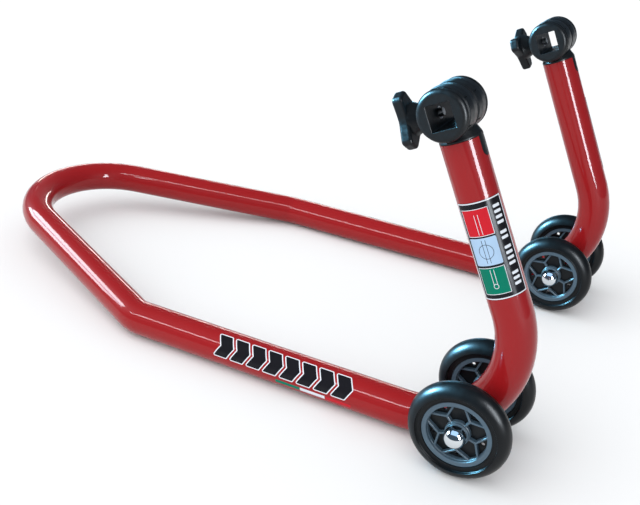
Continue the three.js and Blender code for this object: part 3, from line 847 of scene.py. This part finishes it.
def make_head(side):
    place = head_place(side)
    along_y = place @ Matrix.Rotation(-math.pi / 2, 4, "X")
    head = lathe(f"head_skin_{side}", barrel_profile(), along_y, 112)
    neck = lathe("neck", neck_profile(), place, 96)
    spigot = lathe("spigot", spigot_profile(), place, 64)
    key_shape = key_outline(KEY_WIDTH / 2, -HEAD_RISE - KEY_LENGTH, -HEAD_RISE + 2)
    key = key_prism("key", key_shape, TUBE_R / 2, TUBE_R + 2, side)
    skin = lathe("skin", [(0, -4 * HEAD_RISE), (TUBE_R, -4 * HEAD_RISE), (TUBE_R, 0), (0, 0)], place, 128)
    combine(key, [skin], "INTERSECT")
    combine(head, [neck, spigot, key], "UNION")
    insert_bore = drill(INSERT_R + 0.15, -2 * BARREL_R, 1 - SOCKET / 2, place @ ALONG_X)
    hollow = drill(SPIGOT_HOLLOW_R, -2 * SPIGOT_LENGTH, -HEAD_RISE - 5, place)
    combine(head, [socket_cutter(place), insert_bore, hollow, *mould_marks(place)], "DIFFERENCE")
    smooth(head, 30)
    dress(head, "nylon", "frame", "black_plastic", f"head_{side}")


def make_insert(side):
    bore, start, wall = STUD_R + TOUCH, -BARREL_R + 2, -SOCKET / 2
    profile = rounded([
        (bore, start, 0.3), (INSERT_R, start, 0.3), (INSERT_R, wall, 0.4), (bore, wall, 0.4),
    ], closed=True, steps=3)
    insert = lathe(f"insert_skin_{side}", profile, head_place(side) @ ALONG_X, 48)
    smooth(insert)
    dress(insert, "zinc", "frame", "zinc_steel", f"head_insert_{side}")


def make_stud(side):
    """The clamping stud, with its thread as a helical groove and a bevelled tip."""
    around, depth, bevel = 24, 0.55, 0.8
    low, high = STUD_START, STUD_TIP
    steps = round((high - low) / (THREAD_PITCH / 6))
    loops = []
    for k in range(steps + 1):
        x = low + (high - low) * k / steps
        limit = STUD_R - max(0, x - high + bevel)
        ring = []
        for i in range(around):
            turn = 2 * math.pi * i / around
            phase = (x / THREAD_PITCH - i / around) % 1
            radius = STUD_R - depth * abs(2 * phase - 1)
            radius = min(radius, limit)
            ring.append((x, radius * math.cos(turn), radius * math.sin(turn)))
        loops.append(ring)
    stud = loft(f"stud_skin_{side}", loops, head_place(side))
    smooth(stud, 50)
    dress(stud, "zinc", f"clamp_stud_{side}", "zinc_steel", f"knob_stud_{side}")


def knob_outline(turn):
    """Three blunt arms with hollow fillets between them, as (y, z) points."""
    third = 2 * math.pi / 3
    tip_r, fillet_r = 4.8, 17
    corners = []
    for arm in range(3):
        angle = turn + third * arm
        tip, fillet = polar(KNOB_R, angle), polar(KNOB_WAIST_R * 1.02, angle + third / 2)
        side = polar(KNOB_TIP_HALF_WIDTH, angle + math.pi / 2)
        corners += [(*(tip - side), tip_r), (*(tip + side), tip_r), (*fillet, fillet_r)]
    return rounded(corners, closed=True, steps=12)


def make_knob(side):
    turned = head_place(side) @ ALONG_X
    outline = knob_outline(math.pi / 2 + KNOB_TURN[side])
    name = f"knob_skin_{side}"
    knob = rounded_prism(name, outline, KNOB_FACE, KNOB_BACK, KNOB_EDGE_R, facing_x(side), steps=8)
    sunk, foot_r, end_r = KNOB_BACK - 2, 14.6, 11
    boss = lathe("boss", rounded([
        (0, sunk, 0), (foot_r + 0.9, sunk, 0), (foot_r, KNOB_BACK + 0.3, 1), (end_r, KNOB_BOSS_END, 0.8),
        (0, KNOB_BOSS_END, 0),
    ]), turned, 64)
    combine(knob, [boss], "UNION")
    bore = drill(STUD_R + 0.25, STUD_START - TOUCH, 0, turned, segments=32)
    above, below, dish_r = KNOB_FACE - 3, KNOB_FACE + 0.6, 8.6
    dish = lathe("dish", rounded([
        (0, above, 0), (dish_r + 0.6, above, 0), (dish_r, below, 0.4), (0, below, 0),
    ]), turned, 64)
    combine(knob, [bore, dish], "DIFFERENCE")
    smooth(knob, 30)
    dress(knob, "nylon", f"clamp_knob_{side}", "black_plastic", f"knob_{side}")


# ---- Stickers --------------------------------------------------------------------------------------------


def rectangle(x0, x1, z0, z1, radius=0.0):
    corners = [(x0, z0, radius), (x1, z0, radius), (x1, z1, radius), (x0, z1, radius)]
    return rounded(corners, closed=True, steps=4)


def frame_strips(x0, x1, z0, z1, width):
    """The four strips of a thin rectangular border."""
    return [
        rectangle(x0, x1, z0, z0 + width), rectangle(x0, x1, z1 - width, z1),
        rectangle(x0, x0 + width, z0 + width, z1 - width),
        rectangle(x1 - width, x1, z0 + width, z1 - width),
    ]


def wrapped(name, outlines, place, level, thickness=0.05):
    """Thin films with outlines of (arc length, height), wrapped round local Z a level above the tube."""
    bm = bmesh.new()
    for outline in outlines:
        flat = bmesh.new()
        flat.faces.new([flat.verts.new((x, 0, z)) for x, z in outline])
        column = TUBE_R * math.radians(5)
        first = math.ceil(min(x for x, _ in outline) / column)
        last = math.floor(max(x for x, _ in outline) / column)
        for k in range(first, last + 1):
            geometry = flat.verts[:] + flat.edges[:] + flat.faces[:]
            bmesh.ops.bisect_plane(flat, geom=geometry, plane_co=(k * column, 0, 0), plane_no=(1, 0, 0))
        lifted = bmesh.ops.extrude_face_region(flat, geom=flat.faces[:])["geom"]
        for vertex in lifted:
            if isinstance(vertex, bmesh.types.BMVert):
                vertex.co.y = thickness
        part = bpy.data.meshes.new("part")
        flat.to_mesh(part)
        flat.free()
        bm.from_mesh(part)
        bpy.data.meshes.remove(part)
    for vertex in bm.verts:
        angle = vertex.co.x / TUBE_R
        radius = TUBE_R + level + vertex.co.y
        vertex.co = (radius * math.cos(angle), radius * math.sin(angle), vertex.co.z)
    points = [v.co.copy() for v in bm.verts]
    bm.verts.index_update()
    faces = [[v.index for v in f.verts] for f in bm.faces]
    bm.free()
    film = new_piece(name, points, faces, place)
    smooth(film, 40)
    return film


def ring_strips(x, z, radius, width, count=12):
    """A thin ring made of flat wedges."""
    strips = []
    for k in range(count):
        inner = arc(x, z, radius - width / 2, 2 * math.pi * k / count, 2 * math.pi * (k + 1) / count, 2)
        outer = arc(x, z, radius + width / 2, 2 * math.pi * k / count, 2 * math.pi * (k + 1) / count, 2)
        strips.append(inner + outer[::-1])
    return strips


def tick_column(left, right, top):
    """A column of plain ticks in four groups."""
    height, pitch, gap, corner_r = 2.6, 4.9, 3.92, 0.7
    ticks = []
    for group in (4, 2, 4, 3):
        for _ in range(group):
            ticks.append(rectangle(left, right, top - height, top, corner_r))
            top -= pitch
        top -= gap
    return ticks


def line_pair(middle, low, high, width):
    """Two thin upright lines, one on each side of a middle."""
    apart = 1.6
    return [rectangle(x - width / 2, x + width / 2, low, high) for x in (middle - apart, middle + apart)]


def make_upright_label(side):
    """A black film with a thin pale border, three coloured panels and a column of plain ticks."""
    mirror = Matrix.Diagonal((1, SIDES[side], 1, 1))
    place = head_place(side) @ mirror
    film = (2.0, 47.0, -166.0, -77.0)
    panels = {"red": (-107.5, -83.0), "pale": (-134.0, -109.0), "green": (-161.0, -136.0)}
    left, right = TUBE_R * math.radians(54), TUBE_R * math.radians(130)
    base = wrapped(f"label_film_{side}", [rectangle(*film, 1.5)], place, 0.03, 0.12)
    dress(base, "label_black", "frame", "label", f"upright_label_{side}")
    pale = frame_strips(film[0] + 0.3, film[1] - 0.3, film[2] + 0.3, film[3] - 0.3, 1.0)
    for low, high in (panels["red"], panels["green"]):
        pale += frame_strips(left, right, low, high, 0.5)
    pale += tick_column(6.2, 13.4, -84.0)
    middle = (left + right) / 2 - 1
    pale += line_pair(middle, -106, -88, 0.44) + line_pair(middle, -152, -138, 0.44)
    pale += ring_strips(middle, -153.4, 2.1, 0.45)
    marks = wrapped(f"label_marks_{side}", pale, place, 0.22)
    dress(marks, "label_white", "frame", "label_white")
    slots = {"red": "label_red", "pale": "label_white", "green": "label_green"}
    for name, (low, high) in panels.items():
        inset = 0.0 if name == "pale" else 0.5
        outline = rectangle(left + inset, right - inset, low + inset, high - inset, 1.2)
        panel = wrapped(f"label_panel_{name}_{side}", [outline], place, 0.16)
        dress(panel, f"label_{name}", "frame", slots[name])
    lines = line_pair(middle, -132, -111, 0.4) + ring_strips(middle, -121.5, 6.4, 0.4, 20)
    motif = wrapped(f"label_motif_{side}", lines, place, 0.22)
    dress(motif, "label_black", "frame", "label")


def arm_place(side):
    """Local Z runs along the arm from the lower corner, X points outwards and Y up."""
    y = SIDES[side] * TRACK_HALF
    start = Vector((LOWER.x, y, LOWER.z))
    along = (Vector((KINK.x, y, KINK.z)) - start).normalized()
    outwards = Vector((0, SIDES[side], 0))
    up = along.cross(outwards) * -SIDES[side]
    columns = Matrix((outwards, up, along)).transposed().to_4x4()
    return Matrix.Translation(start) @ columns


def chevron(at, low, high, width, bend):
    """A pointed bar across the arm, as (arc length, distance along)."""
    middle = (low + high) / 2
    return rounded([
        (low, at, 0.8), (middle, at - bend, 0.8), (high, at, 0.8),
        (high, at + width, 0.8), (middle, at + width - bend, 0.8), (low, at + width, 0.8),
    ], closed=True, steps=3)


def make_arm_graphic(side):
    """A row of plain chevrons with pale edges, and a small striped bar below it."""
    place = arm_place(side)
    low, high = TUBE_R * math.radians(2), TUBE_R * math.radians(72)
    near, pitch, width, count = 210.0, 19.6, 14.6, 8
    chevrons = [chevron(near + pitch * k, low, high, width, 6.5) for k in range(count)]
    edges = [grown(outline, 1.1) for outline in chevrons]
    pale = wrapped(f"arm_graphic_edges_{side}", edges, place, 0.03)
    dress(pale, "label_white", "frame", "label_white", f"arm_graphic_{side}")
    dark = wrapped(f"arm_graphic_chevrons_{side}", chevrons, place, 0.09)
    dress(dark, "label_black", "frame", "label")
    low, high = TUBE_R * math.radians(-24), TUBE_R * math.radians(-11)
    for name, start in (("red", 202.5), ("white", 231.5), ("green", 260.0)):
        bar = rectangle(low, high, start, start + 28)
        stripe = wrapped(f"arm_stripe_{name}_{side}", [bar], place, 0.03)
        dress(stripe, f"label_{name}", "frame", f"label_{name}")


# ---- Stage -----------------------------------------------------------------------------------------------


def make_floor():
    size = 30.0
    mesh = bpy.data.meshes.new("floor")
    corners = [(-size, -size, 0), (size, -size, 0), (size, size, 0), (-size, size, 0)]
    mesh.from_pydata(corners, [], [(0, 1, 2, 3)])
    floor = bpy.data.objects.new("floor", mesh)
    bpy.context.scene.collection.objects.link(floor)
    surface = Finish("floor", (0.70, 0.705, 0.71), 0.9, Specular_IOR_Level=0.0)
    surface.vary_color(3, 0.99, 1.01)
    mesh.materials.append(surface.material)


def make_window(name, start, end, width, aim, radiance, color, lit=None):
    """A soft box from start to end, facing the aim, seen only in the gloss, of lit pieces if given."""
    start, end, aim = Vector(start), Vector(end), Vector(aim)
    centre = (start + end) / 2
    along = (end - start).normalized()
    facing = aim - centre
    facing = (facing - along * facing.dot(along)).normalized()
    data = bpy.data.lights.new(name, "AREA")
    data.shape = "RECTANGLE"
    data.size, data.size_y = (end - start).length, width
    data.energy = radiance * math.pi * data.size * data.size_y
    data.color = color
    light = bpy.data.objects.new(name, data)
    across_it = facing.cross(along)
    turn = Matrix((along, across_it, -facing)).transposed().to_4x4()
    light.matrix_world = Matrix.Translation(centre) @ turn
    light.visible_diffuse = False
    light.visible_camera = False
    if lit:
        light.light_linking.receiver_collection = lit
    bpy.context.scene.collection.objects.link(light)


def make_lights():
    """One very soft light for the shading, and soft boxes all round for the gloss."""
    data = bpy.data.lights.new("sky", "SUN")
    data.energy = 2.6
    data.angle = math.radians(100)
    sky = bpy.data.objects.new("sky", data)
    sky.rotation_euler = Vector((0.35, 0.7, -0.85)).to_track_quat("-Z", "Y").to_euler()
    sky.visible_glossy = False
    bpy.context.scene.collection.objects.link(sky)

    paint, plastics, chrome = (GROUPS[name] for name in ("paint", "plastics", "chrome"))
    white, sky_blue, warm = (0.86, 0.93, 1.0), (0.2, 0.66, 1.0), (1.0, 0.93, 0.89)
    stand = (0, 0, 0.1)
    make_window("right", (1.04, -0.57, 0.23), (1.04, -0.57, 0.98), 0.25, (0.3, -0.18, 0.3), 45, white)
    make_window("left_high", (-3, -1.3, 1.9), (-3, 0.1, 1.9), 0.6, stand, 26, white)
    make_window("left_low", (-3, -1.3, 1.07), (-3, 0.1, 1.07), 0.52, stand, 22, white)
    make_window("left_bar", (-3, -1.3, 1.46), (-3, 0.1, 1.46), 0.24, stand, 7, (0.4, 0.75, 1.0))
    make_window("left_glow", (-3, -1.1, 1.35), (-3, -0.35, 1.35), 0.7, stand, 1150, sky_blue, plastics)
    make_window("back_glow", (-1.9, 2.4, 0.4), (-0.7, 2.8, 0.4), 0.36, stand, 11, sky_blue, plastics)
    make_window("overhead", (-2, -1, 3), (2, -1, 3), 3, stand, 1.4, (0.45, 0.68, 1.0), chrome)
    make_window("front", (-1.9, -1.58, 1.5), (0.2, -1.62, 1.5), 0.15, stand, 32, white, paint)
    make_window("front_right", (-0.3, -1.19, 1.5), (0.5, -0.93, 1.5), 0.1, stand, 30, white, paint)
    make_window("back", (-2.9, 1.8, 0.67), (-0.3, 3.2, 0.67), 0.13, (-0.2, -0.1, 0.05), 22, warm, paint)

    world = bpy.data.worlds.new("studio")
    bpy.context.scene.world = world
    world.use_nodes = True
    nodes, links = world.node_tree.nodes, world.node_tree.links
    ambient = nodes["Background"]
    ambient.inputs["Color"].default_value = (0.96, 0.98, 1.0, 1)
    ambient.inputs["Strength"].default_value = 0.9
    in_gloss = nodes.new("ShaderNodeBackground")
    in_gloss.inputs["Color"].default_value = (0.5, 0.72, 1.0, 1)
    in_gloss.inputs["Strength"].default_value = 0.14
    path = nodes.new("ShaderNodeLightPath")
    mix = nodes.new("ShaderNodeMixShader")
    links.new(path.outputs["Is Glossy Ray"], mix.inputs["Fac"])
    links.new(ambient.outputs["Background"], mix.inputs[1])
    links.new(in_gloss.outputs["Background"], mix.inputs[2])
    links.new(mix.outputs["Shader"], nodes["World Output"].inputs["Surface"])


def make_camera():
    """Three quarters from the right, a little above, with a slight roll."""
    data = bpy.data.cameras.new("camera")
    data.lens = 48.11
    data.sensor_width = 36.0
    data.shift_x, data.shift_y = -0.068, -0.0154
    data.clip_end = 100
    camera = bpy.data.objects.new("camera", data)
    heading, tilt, roll = (math.radians(a) for a in (22.243, 64.456, 5.658))
    turn = Matrix.Rotation(heading, 4, "Z") @ Matrix.Rotation(tilt, 4, "X") @ Matrix.Rotation(roll, 4, "Z")
    camera.matrix_world = Matrix.Translation((0.4586, -0.8408, 0.5255)) @ turn
    bpy.context.scene.collection.objects.link(camera)
    bpy.context.scene.camera = camera


# ---- Making it all ---------------------------------------------------------------------------------------

make_camera()
make_floor()
make_lights()
bpy.context.scene.view_settings.view_transform = "Standard"
make_tube()
for side_name in SIDES:
    make_sleeve(side_name)
    make_axle(side_name)
    for place_name in PLACES:
        make_wheel(side_name, place_name)
    make_head(side_name)
    make_insert(side_name)
    make_stud(side_name)
    make_knob(side_name)
    make_upright_label(side_name)
    make_arm_graphic(side_name)
